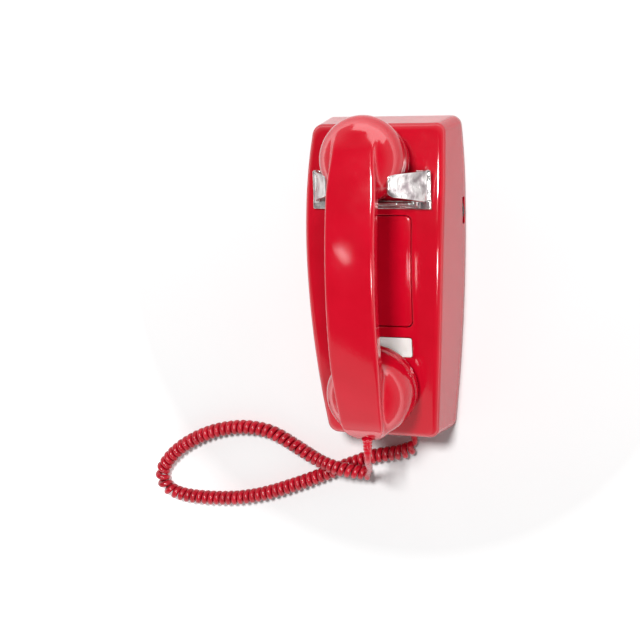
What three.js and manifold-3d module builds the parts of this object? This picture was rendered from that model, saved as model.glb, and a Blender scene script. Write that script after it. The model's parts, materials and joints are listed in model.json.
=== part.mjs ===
// Wall telephone without a dial: a bowed housing on a back plate, with a handset hung on a chromed cradle
// hook and a curly cord. Millimetres. The phone lies on its back: X is its right, Y its top end, Z out of
// its face. The origin is the centre of the back plate's rear face.
import * as THREE from 'three';
import { mergeVertices } from 'three/addons/utils/BufferGeometryUtils.js';
import Module from 'manifold-3d';

const wasm = await Module();
wasm.setup();

// ---------------------------------------------------------------- driving dimensions
const GAP = 0.35;                 // clearance between neighbouring pieces
const HALF_LENGTH = 108;          // housing, half its height on the wall
const WIDEST_HALF = 50.3;         // housing, half its greatest width, at the back
const WIDEST_Y = 55;
const TOP_TAPER = 0.00093;        // loss of half width per square millimetre above WIDEST_Y
const BOTTOM_TAPER = 0.00035;     // and below it
const CORNER = 7;                 // corner radius of the housing's outline
const DRAFT = 2.8;                // how far the side walls lean in from back to front
const WALL = 2.5;
const FRONT_ROUND = 4.5;          // radius of the housing's front edge
const FACE_PEAK_Y = 5;
const FACE_PEAK_Z = 53.5;
const FACE_DROP_TOP = 19.5;       // fall of the bowed face from its peak to the top end
const FACE_DROP_BOTTOM = 13.5;    // and to the bottom end

const PLATE = 2.0;                // back plate thickness
const KEYHOLE = { top: 46, bottom: -98, headRadius: 4.2, slotWidth: 4.4, slotLength: 10 };
const JACK_HOLE = { halfWidth: 12, bottom: 8, top: 32 };
const SCREW_X = -24;              // the screw that holds the housing, in its bottom wall
const PANEL = { halfWidth: 26, bottom: -26.6, top: 46.4, corner: 4 };
const CARD = { halfWidth: 25, bottom: -47.4, top: -34.2, corner: 1.6 };

const HOOK = {
  halfWidth: 40, bottom: 51, top: 76, flangeZ: 50.4, thick: 2.4,
  tipX: 19.5, tipZ: 83, armX: 32, pivotY: 66, pivotZ: 12, pinRadius: 2,
};
const SLOT = { width: 4.6, bottom: 51, top: 66 };

const HANDLE = { arcY: 6, arcZ: -157, arcRadius: 261, thick: 20, halfWidth: 17, bevel: 2 };
const RECEIVER = { y: 82, z: 46.5, tilt: 12, capRadius: 27, cupRadius: 27.5, cupDepth: 34 };
const TRANSMITTER = { y: -66.5, z: 49.6, tilt: -10, capRadius: 30.5, cupRadius: 29.5, cupDepth: 31 };
const CAP_DEPTH = 10;
const HANDSET_END = 111.5;        // the receiver end is flattened here

const RINGER = { gongX: 21.5, gongY: -72, gongRadius: 17.5, gongZ: 24, pivotY: -54, coilY: -38 };
const WHEEL = { x: 37.7, y: 45, z: 4, radius: 12.6, thick: 3 };
const NETWORK = { left: -35, right: -14, bottom: -22, top: 36, height: 20 };
const LINE_PLUG = { halfWidth: 6, bottom: 14, top: 29.5, z: 3.2, thick: 8 };

const WIRE = 4;                   // diameter of the cord's wire
const COIL = 11;                  // outer diameter of the curly cord
const COIL_Z = COIL / 2 + 0.1;
const CORD_EXIT_X = 12.5;

// ---------------------------------------------------------------- materials
const paint = (color, roughness, metalness = 0) =>
  () => new THREE.MeshStandardMaterial({ color, roughness, metalness });

const redPlastic = paint(0xc00a20, 0.18);
const redCord = paint(0xb80a1e, 0.32);
const chrome = paint(0xdfe0e2, 0.08, 1);
const steel = paint(0x9a9da1, 0.35, 1);
const brass = paint(0xb99a55, 0.3, 1);
const copper = paint(0x9c4a26, 0.45, 1);
const blackPlastic = paint(0x1b1b1d, 0.5);
const greyPlastic = paint(0x8a8c8e, 0.55);
const paper = paint(0xf4f3ee, 0.85);
const clearPlastic = paint(0xf2f6f7, 0.05);

// ---------------------------------------------------------------- solids
function solid(geometry) {
  const bare = geometry.index ? geometry.toNonIndexed() : geometry.clone();
  bare.deleteAttribute('normal');
  bare.deleteAttribute('uv');
  const merged = mergeVertices(bare, 1e-4);
  const kept = [];
  const index = merged.index.array;
  for (let i = 0; i < index.length; i += 3) {
    const [a, b, c] = [index[i], index[i + 1], index[i + 2]];
    if (a !== b && b !== c && c !== a) kept.push(a, b, c);
  }
  return new wasm.Manifold(new wasm.Mesh({
    numProp: 3,
    vertProperties: new Float32Array(merged.attributes.position.array),
    triVerts: new Uint32Array(kept),
  }));
}

function geometryOf(manifold) {
  const mesh = manifold.getMesh();
  const geometry = new THREE.BufferGeometry();
  geometry.setAttribute('position', new THREE.BufferAttribute(mesh.vertProperties, 3));
  geometry.setIndex(new THREE.BufferAttribute(mesh.triVerts, 1));
  geometry.computeVertexNormals();
  return geometry;
}

const join = (...pieces) => geometryOf(pieces.map(solid).reduce((a, b) => a.add(b)));
const cut = (piece, ...tools) => geometryOf(tools.map(solid).reduce((a, b) => a.subtract(b), solid(piece)));

// a box between two opposite corners
function box([x0, y0, z0], [x1, y1, z1]) {
  const geometry = new THREE.BoxGeometry(Math.abs(x1 - x0), Math.abs(y1 - y0), Math.abs(z1 - z0));
  return geometry.translate((x0 + x1) / 2, (y0 + y1) / 2, (z0 + z1) / 2);
}

// a cylinder along Z, standing on z
function drum(radius, height, [x, y, z], segments = 24) {
  const geometry = new THREE.CylinderGeometry(radius, radius, height, segments);
  return geometry.rotateX(Math.PI / 2).translate(x, y, z + height / 2);
}

// a cylinder along X, centred on a point
function rod(radius, length, [x, y, z], segments = 16) {
  const geometry = new THREE.CylinderGeometry(radius, radius, length, segments);
  return geometry.rotateZ(Math.PI / 2).translate(x, y, z);
}

// a body of revolution about Z, from [radius, height] points
function turned(profile, segments = 40) {
  const points = profile.map(([radius, height]) => new THREE.Vector2(radius, height));
  return new THREE.LatheGeometry(points, segments).rotateX(Math.PI / 2);
}

function tube(points, radius, steps, sides = 8) {
  const curve = new THREE.CatmullRomCurve3(points.map((p) => new THREE.Vector3(...p)));
  const section = new THREE.Shape().absarc(0, 0, radius, 0, 2 * Math.PI);
  const options = { steps, curveSegments: sides / 2, extrudePath: curve, bevelEnabled: false };
  return new THREE.ExtrudeGeometry(section, options);
}

function roundedRect(x0, y0, x1, y1, r) {
  const shape = new THREE.Shape();
  shape.moveTo(x0 + r, y0);
  shape.lineTo(x1 - r, y0);
  shape.absarc(x1 - r, y0 + r, r, -Math.PI / 2, 0);
  shape.lineTo(x1, y1 - r);
  shape.absarc(x1 - r, y1 - r, r, 0, Math.PI / 2);
  shape.lineTo(x0 + r, y1);
  shape.absarc(x0 + r, y1 - r, r, Math.PI / 2, Math.PI);
  shape.lineTo(x0, y0 + r);
  shape.absarc(x0 + r, y0 + r, r, Math.PI, 1.5 * Math.PI);
  return shape;
}

// a prism of an XY outline between two heights
function prism(shape, z0, z1, curveSegments = 5) {
  const options = { depth: z1 - z0, curveSegments, bevelEnabled: false };
  return new THREE.ExtrudeGeometry(shape, options).translate(0, 0, z0);
}

// a prism of a side outline, drawn as (y, z), from x0 to x1
function sidePrism(shape, x0, x1, options = {}) {
  const settings = { depth: x1 - x0, curveSegments: 8, bevelEnabled: false, ...options };
  const geometry = new THREE.ExtrudeGeometry(shape, settings);
  const toSide = new THREE.Matrix4().makeBasis(
    new THREE.Vector3(0, 1, 0), new THREE.Vector3(0, 0, 1), new THREE.Vector3(1, 0, 0));
  return geometry.applyMatrix4(toSide).translate(x0, 0, 0);
}

const outline = (points) => new THREE.Shape(points.map(([a, b]) => new THREE.Vector2(a, b)));

const phone = new THREE.Group();

function place(name, geometry, material, parent = phone) {
  const mesh = new THREE.Mesh(geometry, material());
  mesh.name = name;
  parent.add(mesh);
  return mesh;
}

// ---------------------------------------------------------------- bowed shapes
function backHalfWidth(y) {
  const d = y - WIDEST_Y;
  return WIDEST_HALF - (d > 0 ? TOP_TAPER : BOTTOM_TAPER) * d * d;
}

function faceZ(y) {
  const d = y - FACE_PEAK_Y;
  const reach = d > 0 ? HALF_LENGTH - FACE_PEAK_Y : HALF_LENGTH + FACE_PEAK_Y;
  return FACE_PEAK_Z - (d > 0 ? FACE_DROP_TOP : FACE_DROP_BOTTOM) * (d / reach) ** 2;
}

// right half of an outline, from the bottom centre to the top centre; halfWidth is a function of y
function halfOutline(halfWidth, bottom, top, corner, sideSteps) {
  const points = [[halfWidth(bottom) * 0.4, bottom]];
  const cornerSteps = 4;
  for (const [end, turn] of [[bottom + corner, -1], [top - corner, 1]]) {
    const arc = [];
    for (let i = 0; i <= cornerSteps; i++) {
      const a = (i / cornerSteps) * Math.PI / 2;
      const angle = turn < 0 ? a - Math.PI / 2 : a;
      arc.push([halfWidth(end) - corner + corner * Math.cos(angle), end + corner * Math.sin(angle)]);
    }
    if (turn > 0) {
      for (let i = 1; i < sideSteps; i++) {
        const y = bottom + corner + (i / sideSteps) * (top - bottom - 2 * corner);
        points.push([halfWidth(y), y]);
      }
    }
    points.push(...arc);
  }
  points.push([halfWidth(top) * 0.4, top]);
  return points;
}

// a closed ring of points: the half outline, and its mirror image back down
function ring(half, z) {
  const right = half.map(([x, y]) => [x, y, z(y)]);
  const left = right.map(([x, y, height]) => [-x, y, height]).reverse();
  return [...right, ...left];
}

// a closed surface through rings of equal count, each end closed straight across from side to side
function stack(rings) {
  const count = rings[0].length;
  const index = [];
  for (let k = 0; k + 1 < rings.length; k++) {
    for (let i = 0; i < count; i++) {
      const j = (i + 1) % count;
      const [a, b, c, d] = [k * count + i, k * count + j, (k + 1) * count + j, (k + 1) * count + i];
      index.push(a, b, c, a, c, d);
    }
  }
  const across = (base, flip) => {
    for (let i = 0; i + 1 < count / 2; i++) {
      const [a, b, c, d] = [base + i, base + i + 1, base + count - 2 - i, base + count - 1 - i];
      if (flip) index.push(a, c, b, a, d, c);
      else index.push(a, b, c, a, c, d);
    }
  };
  across((rings.length - 1) * count, false);
  across(0, true);
  const geometry = new THREE.BufferGeometry();
  geometry.setAttribute('position', new THREE.BufferAttribute(new Float32Array(rings.flat(2)), 3));
  geometry.setIndex(index);
  return geometry;
}

// a block between two heights that depend on y, with its upper edge rounded
function bowedBlock(halfWidth, bottom, top, corner, lower, upper, round, sideSteps) {
  const inset = (d) => halfOutline((y) => halfWidth(y) - d, bottom + d, top - d, corner, sideSteps);
  const rings = [ring(inset(0), lower)];
  const steps = round > 1 ? 4 : 2;
  for (let i = 0; i <= steps; i++) {
    const a = (i / steps) * Math.PI / 2;
    rings.push(ring(inset(round * (1 - Math.cos(a))), (y) => upper(y) - round * (1 - Math.sin(a))));
  }
  return stack(rings);
}

// the housing's outside, or its inside when shrunk by the wall
function housingBlock(shrink, round, from) {
  const at = (d) => halfOutline((y) => backHalfWidth(y) - shrink - d,
    -HALF_LENGTH + shrink + d, HALF_LENGTH - shrink - d, CORNER - shrink / 2, 14);
  const rings = [ring(at(0), () => from)];
  const steps = 4;
  for (let i = 0; i <= steps; i++) {
    const a = (i / steps) * Math.PI / 2;
    const z = (y) => faceZ(y) - shrink - round * (1 - Math.sin(a));
    rings.push(ring(at(DRAFT + round * (1 - Math.cos(a))), z));
  }
  return stack(rings);
}

// ---------------------------------------------------------------- housing and face
function makeHousing() {
  const panelHole = prism(roundedRect(-PANEL.halfWidth - GAP, PANEL.bottom - GAP,
    PANEL.halfWidth + GAP, PANEL.top + GAP, PANEL.corner), 30, 70);
  const cardHole = prism(roundedRect(-CARD.halfWidth - GAP, CARD.bottom - GAP,
    CARD.halfWidth + GAP, CARD.top + GAP, CARD.corner), 30, 70);
  const slots = [-1, 1].map((side) => box(
    [side * HOOK.armX - SLOT.width / 2, SLOT.bottom, 30], [side * HOOK.armX + SLOT.width / 2, SLOT.top, 70]));
  const wheelSlot = box([40, WHEEL.y - 9, WHEEL.z - 0.8], [60, WHEEL.y + 9, WHEEL.z + WHEEL.thick + 0.8]);
  const cordHole = rodAlongY(4.3, [CORD_EXIT_X, -115, 6.5], 12);
  const screwHole = join(rodAlongY(2.6, [SCREW_X, -115, 8], 12), rodAlongY(3.8, [SCREW_X, -115, 8], 8.8));
  return cut(housingBlock(0, FRONT_ROUND, 0), housingBlock(WALL, FRONT_ROUND - WALL / 2, -1),
    panelHole, cardHole, ...slots, wheelSlot, cordHole, screwHole);
}

// a cylinder along Y that starts at a point and runs towards the top end
function rodAlongY(radius, [x, y, z], length, segments = 20) {
  return new THREE.CylinderGeometry(radius, radius, length, segments).translate(x, y + length / 2, z);
}

function makeBasePlate() {
  const inside = WALL + GAP;
  const width = (y) => backHalfWidth(y) - inside;
  const half = halfOutline(width, -HALF_LENGTH + inside, HALF_LENGTH - inside, CORNER - 1, 14);
  const plate = stack([ring(half, () => 0), ring(half, () => PLATE)]);
  const { headRadius, slotWidth, slotLength } = KEYHOLE;
  const keyhole = (y) => [drum(headRadius, 10, [0, y, -4]),
    box([-slotWidth / 2, y, -4], [slotWidth / 2, y + slotLength, 6])];
  const jackHole = box([-JACK_HOLE.halfWidth, JACK_HOLE.bottom, -4], [JACK_HOLE.halfWidth, JACK_HOLE.top, 6]);
  return cut(plate, ...keyhole(KEYHOLE.top), ...keyhole(KEYHOLE.bottom), jackHole);
}

function makePanel() {
  const width = () => PANEL.halfWidth;
  const front = bowedBlock(width, PANEL.bottom, PANEL.top, PANEL.corner,
    (y) => faceZ(y) - 4, (y) => faceZ(y) - 0.5, 1.2, 10);
  const flange = bowedBlock(() => PANEL.halfWidth + 2, PANEL.bottom - 2, PANEL.top + 2, PANEL.corner,
    (y) => faceZ(y) - 5, (y) => faceZ(y) - WALL - GAP, 0.2, 10);
  return join(front, flange);
}

const makeCardTray = () => bowedBlock(() => CARD.halfWidth + 3, CARD.bottom - 3, CARD.top + 2, 2,
  (y) => faceZ(y) - 5.2, (y) => faceZ(y) - WALL - GAP, 0.2, 3);

// a thin layer that follows the face over the card's window, between two depths below it
const cardLayer = (margin, below, above, round) => bowedBlock(() => CARD.halfWidth - margin,
  CARD.bottom + margin, CARD.top - margin, CARD.corner - margin / 2,
  (y) => faceZ(y) - below, (y) => faceZ(y) - above, round, 4);

function addHousing() {
  place('housing', makeHousing(), redPlastic);
  place('base_plate', makeBasePlate(), steel);
  place('blank_panel', makePanel(), redPlastic);
  place('card_tray', makeCardTray(), redPlastic);
  place('number_card', cardLayer(0.2, 2.5, 2.1, 0.05), paper);
  place('card_window', cardLayer(0, 1.8, 0.3, 0.3), clearPlastic);
  const head = rodAlongY(3.4, [SCREW_X, -107.3, 8], 0.8);
  place('cover_screw', join(rodAlongY(2.2, [SCREW_X, -107, 8], 9), head), steel);
}

// ---------------------------------------------------------------- network, line plug and volume wheel
function addNetwork() {
  const { left, right, bottom, top, height } = NETWORK;
  place('network_block', box([left, bottom, PLATE + GAP], [right, top, height]), greyPlastic);
  for (let i = 0; i < 6; i++) {
    const [x, y, z] = [i % 2 ? right - 5 : left + 5, bottom + 6 + 22 * Math.floor(i / 2), height + 0.3];
    const driverSlot = box([x - 4, y - 0.4, z + 1], [x + 4, y + 0.4, z + 3]);
    place(`terminal_screw_${i + 1}`, cut(drum(3, 1.8, [x, y, z], 16), driverSlot), brass);
  }
}

// a square hoop on the back plate that holds the plug over the jack hole
function addLinePlug() {
  const { halfWidth, bottom, top, z, thick } = LINE_PLUG;
  const [reach, near, far, roof] = [halfWidth + 3, top + 0.5, top + 10.5, z + thick + 4.8];
  const side = (sign) => box([sign * reach, near, PLATE + GAP], [sign * (reach - 2), far, roof]);
  const foot = box([-reach, near + 3, PLATE + GAP], [reach, far, PLATE + 2]);
  const bridge = box([-reach, near + 3, roof - 2], [reach, far, roof]);
  place('plug_bracket', join(foot, side(-1), side(1), bridge), steel);
  place('line_plug', box([-halfWidth, bottom, z], [halfWidth, top, z + thick]), clearPlastic);
}

function addVolumePin() {
  const foot = [WHEEL.x, WHEEL.y, PLATE + GAP];
  place('volume_pin', join(drum(1.6, 7, foot, 16), drum(4, 1, foot, 16)), steel);
}

function makeWheel() {
  const teeth = 40;
  const rim = outline(Array.from({ length: teeth * 2 }, (_, i) => {
    const radius = WHEEL.radius - (i % 2) * 0.5;
    const angle = (i / (teeth * 2)) * 2 * Math.PI;
    return [radius * Math.cos(angle), radius * Math.sin(angle)];
  }));
  const disc = prism(rim, 0, WHEEL.thick);
  return cut(disc, drum(2, 10, [0, 0, -3], 16)).translate(WHEEL.x, WHEEL.y, WHEEL.z);
}

// ---------------------------------------------------------------- ringer
function makeGong() {
  const { gongRadius: r } = RINGER;
  const profile = [[2.2, 8.2], [r * 0.6, 8.2], [r * 0.84 - 0.8, 7], [r - 1.7, 4.6], [r - 1.3, 0], [r, 0],
    [r - 0.4, 5], [r * 0.86, 8.2], [r * 0.62, 9.6], [2.2, 9.6], [2.2, 8.2]];
  return turned(profile, 28);
}

function makeRingerFrame() {
  const { gongX, gongY, gongZ, coilY } = RINGER;
  const low = PLATE + GAP;
  const floor = box([-34, -84, low], [34, coilY + 10, low + 1.5]);
  const posts = [-1, 1].map((side) => drum(3, gongZ + 8.2 - GAP - low, [side * gongX, gongY, low], 20));
  const bores = [-1, 1].map((side) => drum(2, 8, [side * gongX, gongY, gongZ + 2], 16));
  const clapperRoom = box([-7, -90, -1], [7, -62, 20]);
  return cut(join(floor, ...posts), ...bores, clapperRoom);
}

function addRinger() {
  const { gongX, gongY, gongZ, pivotY, coilY } = RINGER;
  const coilZ = 14;
  place('ringer_frame', makeRingerFrame(), steel);
  for (const [side, sign] of [['left', -1], ['right', 1]]) {
    place(`gong_${side}`, makeGong(), brass).position.set(sign * gongX, gongY, gongZ);
    const top = gongZ + 9.6;
    const screw = join(drum(1.7, 6, [0, 0, top - 5.5], 16), drum(3.6, 1.6, [0, 0, top + 0.3], 20));
    place(`gong_screw_${side}`, screw, steel).position.set(sign * gongX, gongY, 0);
    const pole = join(box([sign * 14, coilY - 10, 5], [sign * 16, coilY + 6, 22]),
      box([sign * 6, coilY - 11, 9], [sign * 16, coilY - 9.6, 19]));
    place(`pole_piece_${side}`, pole, steel);
  }
  const onCoil = (profile) => turned(profile, 24).rotateY(Math.PI / 2).translate(0, coilY, coilZ);
  const spool = [[3.4, -13], [9, -13], [9, -12], [4.2, -12], [4.2, 12], [9, 12], [9, 13], [3.4, 13],
    [3.4, -13]];
  place('ringer_bobbin', onCoil(spool), blackPlastic);
  const windings = [[4.5, -11.7], [8.4, -11.7], [8.4, 11.7], [4.5, 11.7], [4.5, -11.7]];
  place('ringer_winding', onCoil(windings), copper);
  place('ringer_core', rod(3, 27, [0, coilY, coilZ]), steel);
  place('ringer_magnet', box([-9, coilY + 9.6, 5], [9, coilY + 15, 20]), greyPlastic);
  place('armature_pin', drum(1.2, 17, [0, pivotY, 4.2], 12), steel);
}

function addClapper() {
  const { pivotY, gongY } = RINGER;
  const blade = cut(box([-12, pivotY + 1.6, 10], [12, pivotY + 3.6, 18]), drum(1.5, 20, [0, pivotY, 2], 16));
  const hub = cut(drum(3, 8, [0, pivotY, 10], 16), drum(1.5, 20, [0, pivotY, 2], 16));
  place('armature', join(blade, hub), steel);
  const rodPath = [[0, pivotY - 3.4, 14], [0, pivotY - 8, 14], [0, gongY + 4, 17], [0, gongY, 24]];
  const ball = new THREE.SphereGeometry(2.6, 14, 10).translate(0, gongY, 26);
  place('clapper', join(tube(rodPath, 0.8, 10, 8), ball), brass);
}

// ---------------------------------------------------------------- cradle hook and its switch
// the prong's section, seen from the top end: a dished sheet from the side flange in to its tip
function prongSection() {
  const { halfWidth, flangeZ, thick, tipX, tipZ } = HOOK;
  const [bendX, bendZ] = [halfWidth - 7, flangeZ + 16];
  const arch = (...points) => new THREE.QuadraticBezierCurve(
    ...points.map(([x, z]) => new THREE.Vector2(x, z))).getPoints(6);
  const outer = arch([halfWidth, flangeZ + 2], [bendX, bendZ], [tipX, tipZ]);
  const inner = arch(
    [tipX - 0.2, tipZ - thick], [bendX - 1.6, bendZ - thick + 0.4], [halfWidth - 4, flangeZ + 2]);
  return new THREE.Shape([...outer, ...inner]);
}

function makeProng() {
  const { bottom, top, tipX, tipZ, flangeZ, halfWidth } = HOOK;
  const height = top - bottom - 3;
  const sheet = new THREE.ExtrudeGeometry(prongSection(), { depth: height, bevelEnabled: false });
  sheet.rotateX(Math.PI / 2).translate(0, top, 0);
  const heel = outline(
    [[bottom, flangeZ + 6], [bottom + 4, flangeZ + 6], [bottom + 12, tipZ + 4], [bottom, tipZ + 4]]);
  return cut(sheet, sidePrism(heel, tipX - 5, halfWidth + 5));
}

function makeCradleHook() {
  const { halfWidth, bottom, top, flangeZ, armX } = HOOK;
  const web = box([-halfWidth, bottom, flangeZ], [halfWidth, bottom + 5.4, flangeZ + 2.2]);
  const shelf = box([-28, bottom + 2.4, flangeZ + 2], [28, bottom + 4.6, flangeZ + 9]);
  const sides = [-1, 1].map((side) => box(
    [side * 29.6, bottom, flangeZ], [side * halfWidth, top, flangeZ + 2.2]));
  const arms = [-1, 1].map((side) => box(
    [side * armX - 1.5, bottom + 1, 40], [side * armX + 1.5, bottom + 9, flangeZ + 1]));
  const prong = solid(makeProng());
  const body = [web, shelf, ...sides, ...arms].map(solid).reduce((a, b) => a.add(b));
  return geometryOf(body.add(prong).add(prong.mirror([1, 0, 0])));
}

function makeHookLever() {
  const { armX, pivotY, pivotZ, bottom, pinRadius } = HOOK;
  const armSide = outline([[bottom + 1, 39.7], [bottom + 1, 30], [pivotY - 5, 12], [pivotY, 7],
    [pivotY + 5, 12], [pivotY + 2, 20], [bottom + 9, 32], [bottom + 9, 39.7]]);
  const arms = [-1, 1].map((side) => sidePrism(armSide, side * armX - 1.5, side * armX + 1.5));
  const bar = box([-armX, 58.5, 21], [armX, 62.5, 25]);
  return cut(join(...arms, bar), rod(pinRadius + GAP, 90, [0, pivotY, pivotZ], 20));
}

function makeHookBracket() {
  const { armX, pivotY, pivotZ, pinRadius } = HOOK;
  const low = PLATE + GAP;
  const reach = armX + 4.2;
  const sheet = 1.6;
  const foot = box([-reach, pivotY - 5, low], [reach, pivotY + 3, low + sheet]);
  const ears = [-1, 1].map((side) => box(
    [side * reach, pivotY - 5, low], [side * (reach - sheet), pivotY + 5, pivotZ + 5]));
  return cut(join(foot, ...ears), rod(pinRadius + GAP, 90, [0, pivotY, pivotZ], 20));
}

// a torsion spring wound round the hook's pin, its legs standing out at both ends
function makeHookSpring() {
  const { pivotY, pivotZ } = HOOK;
  const turns = 5;
  const points = [];
  for (let i = 0; i <= turns * 10; i++) {
    const angle = (i / 10) * 2 * Math.PI;
    points.push([16 + i * 0.17, pivotY + 3.6 * Math.cos(angle), pivotZ + 3.6 * Math.sin(angle)]);
  }
  return tube([...points, [26, pivotY + 4, pivotZ + 8]], 0.6, 70, 6);
}

function addHookMechanism() {
  const { pivotY, pivotZ, pinRadius, armX } = HOOK;
  place('hook_bracket', makeHookBracket(), steel);
  place('hook_pin', rod(pinRadius, 2 * armX + 10, [0, pivotY, pivotZ], 20), steel);
  place('hook_spring', makeHookSpring(), steel);
  const frame = cut(join(box([-9, 72, PLATE + GAP], [9, 80, 30]), box([-9, 72, PLATE + GAP], [9, 92, 9])),
    box([-3, 70, 20.4], [3, 84, 25.6]),
    ...[0, 1, 2].map((i) => box([-4.4, 83.4 + i * 3, 5], [4.4, 84.6 + i * 3, 12])));
  place('switch_frame', frame, blackPlastic);
  for (let i = 0; i < 3; i++) {
    place(`contact_leaf_${i + 1}`, box([-4, 83.8 + i * 3, 5.4], [4, 84.2 + i * 3, 27]), brass);
  }
}

// ---------------------------------------------------------------- handset
const arcZ = (y, radius) => HANDLE.arcZ + Math.sqrt(radius ** 2 - (y - HANDLE.arcY) ** 2);

function makeHandle() {
  const { arcRadius, thick, halfWidth, bevel } = HANDLE;
  const points = [];
  for (let y = -90; y <= 98; y += 9.4) points.push([y, arcZ(y, arcRadius - bevel)]);
  points.push([104, 78], [107.4, 71], [100, 66]);
  for (let y = 86; y >= -76; y -= 9) points.push([y, arcZ(y, arcRadius - thick + bevel)]);
  points.push([-84, 64], [-94.5, 66], [-96.4, 73], [-95, 79]);
  const options = { bevelEnabled: true, bevelThickness: bevel, bevelSize: bevel, bevelSegments: 2 };
  return sidePrism(outline(points), -halfWidth + bevel, halfWidth - bevel, options);
}

// turns a piece from its own axis into its place at one end of the handset
function atEnd(geometry, end) {
  return geometry.rotateX(-THREE.MathUtils.degToRad(end.tilt)).translate(0, end.y, end.z);
}

function makeCup(end) {
  const { cupRadius: r, cupDepth: h } = end;
  const low = CAP_DEPTH + GAP;
  const profile = [[0, low], [r, low], [r, h - 14]];
  for (let i = 1; i <= 5; i++) {
    const a = (i / 5) * Math.PI / 2;
    profile.push([r - 14 + 14 * Math.cos(a), h - 14 + 14 * Math.sin(a)]);
  }
  profile.push([0, h]);
  return atEnd(turned(profile, 48), end);
}

function makeCavity(end) {
  const { cupRadius: r, cupDepth: h } = end;
  return atEnd(drum(r - 4, h - CAP_DEPTH - 4, [0, 0, CAP_DEPTH - 2], 40), end);
}

function makeHandsetShell() {
  const body = join(makeHandle(), makeCup(RECEIVER), makeCup(TRANSMITTER));
  const cordHole = rodAlongY(3.1, [0, -110, 74], 30, 16);
  const beyondEnd = box([-40, HANDSET_END, 0], [40, HANDSET_END + 20, 120]);
  return cut(body, makeCavity(RECEIVER), makeCavity(TRANSMITTER), cordHole, beyondEnd);
}

function makeCap(end) {
  const { capRadius: r } = end;
  const skirt = r - 4.6;
  const profile = [[0, 0.4], [r - 9, 0.4], [r - 6, 0], [r - 2, 0.6], [r, 3], [r, CAP_DEPTH],
    [skirt, CAP_DEPTH], [skirt, 4], [0, 4]];
  const holes = [];
  for (const [count, radius] of [[1, 0], [6, 6], [12, 12]]) {
    for (let i = 0; i < count; i++) {
      const angle = (i / count) * 2 * Math.PI;
      holes.push(drum(1.1, 10, [radius * Math.cos(angle), radius * Math.sin(angle), -2], 6));
    }
  }
  return atEnd(cut(turned(profile, 40), ...holes), end);
}

function addHandset() {
  const body = new THREE.Group();
  phone.add(body);
  place('handset_shell', makeHandsetShell(), redPlastic, body);
  place('receiver_cap', makeCap(RECEIVER), redPlastic, body);
  place('transmitter_cap', makeCap(TRANSMITTER), redPlastic, body);
  const capsule = (r, h) => turned([[0, 4.4], [r, 4.4], [r, 8], [r - 2, h], [0, h]], 36);
  place('receiver_capsule', atEnd(capsule(21.8, 17), RECEIVER), greyPlastic, body);
  place('transmitter_capsule', atEnd(capsule(24, 12), TRANSMITTER), steel, body);
  const contactCup = turned([[0, 12.4], [22, 12.4], [22, 22], [19, 22], [19, 15], [0, 15]], 36);
  place('transmitter_cup', atEnd(contactCup, TRANSMITTER), blackPlastic, body);
  const relief = turned([[0, 0], [2.7, 0], [2.7, 5], [4, 5.2], [3.4, 7.5], [2.6, 14], [0, 14]], 20);
  relief.rotateX(Math.PI / 2).translate(0, -93.8, 74);
  place('handset_grommet', relief, redPlastic, body);
}

// ---------------------------------------------------------------- cord
const COIL_ROUTE = [
  [12.5, -116.3], [12.2, -118.8], [9.6, -122.6], [4.6, -125.6], [-2.8, -127.5], [-11.7, -129.2],
  [-20.7, -131.8], [-31.2, -136.1], [-41.2, -140.3], [-51.2, -144.8], [-62, -149.5], [-72.2, -153.8],
  [-82.4, -157.8], [-93, -161.8], [-107, -166.2], [-123, -169.6], [-139, -171.2], [-155, -171.6],
  [-168, -170.6], [-178, -167.5], [-183.4, -162], [-184.5, -154.5], [-181, -147], [-174, -139],
  [-164, -131.2], [-151, -124], [-136, -118.5], [-120, -115.6], [-108, -115.6], [-97, -117.4], [-88, -121],
  [-81.1, -124.8], [-73.2, -129.1, 5.8], [-64.6, -133.1, 7.6], [-55.7, -135.5, 11.4],
  [-47.2, -137.1, 15.2], [-39.5, -138.3, 17], [-32.3, -139.2, 16.9], [-25.7, -140.3, 15.2],
  [-19.6, -141.4, 12.8],
];
const LEAD_ROUTE = [
  [0, -108.2, 74], [0, -110, 73.8], [-1.2, -114, 71], [-4, -119.5, 61.5], [-7, -124.8, 49],
  [-9.8, -129.6, 37.5], [-12.2, -134, 27.5], [-14, -138, 20], [-14.8, -140.6, 15.6],
];
const TAIL_ROUTE = [[CORD_EXIT_X, -112.5, 6.2], [CORD_EXIT_X, -114.2, 5.9], [CORD_EXIT_X, -115.9, 5.7]];

function addCord() {
  const collar = [[4, 0], [4, 3.6], [5.6, 3.6], [5.6, 4.8], [3.4, 5], [2.9, 7.6]];
  const gland = turned([[2.3, 0], ...collar, [2.3, 7.6], [2.3, 0]], 20);
  place('cord_gland', gland.rotateX(Math.PI / 2).translate(CORD_EXIT_X, -104.6, 6.5), redPlastic);
  const coil = COIL_ROUTE.map(([x, y, z = COIL_Z]) => [x, y, z]);
  place('cord_coil', tube(coil, COIL / 2, 60, 10), redCord);
  place('cord_lead', tube(LEAD_ROUTE, WIRE / 2, 12, 8), redCord);
  place('cord_tail', tube(TAIL_ROUTE, WIRE / 2, 2, 8), redCord);
}

// ---------------------------------------------------------------- assembly
addHousing();
addNetwork();
addLinePlug();
addVolumePin();
addRinger();
addHookMechanism();
addCord();
addClapper();
place('cradle_hook', makeCradleHook(), chrome);
place('hook_lever', makeHookLever(), steel);
place('switch_plunger', box([-2.6, 62.9, 21], [2.6, 82.6, 25]), blackPlastic);
place('volume_wheel', makeWheel(), blackPlastic);
addHandset();

export default phone;
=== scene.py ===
import json
import math

import bmesh
import bpy
import numpy as np
from mathutils import Matrix, Vector
from mathutils.geometry import delaunay_2d_cdt

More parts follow.
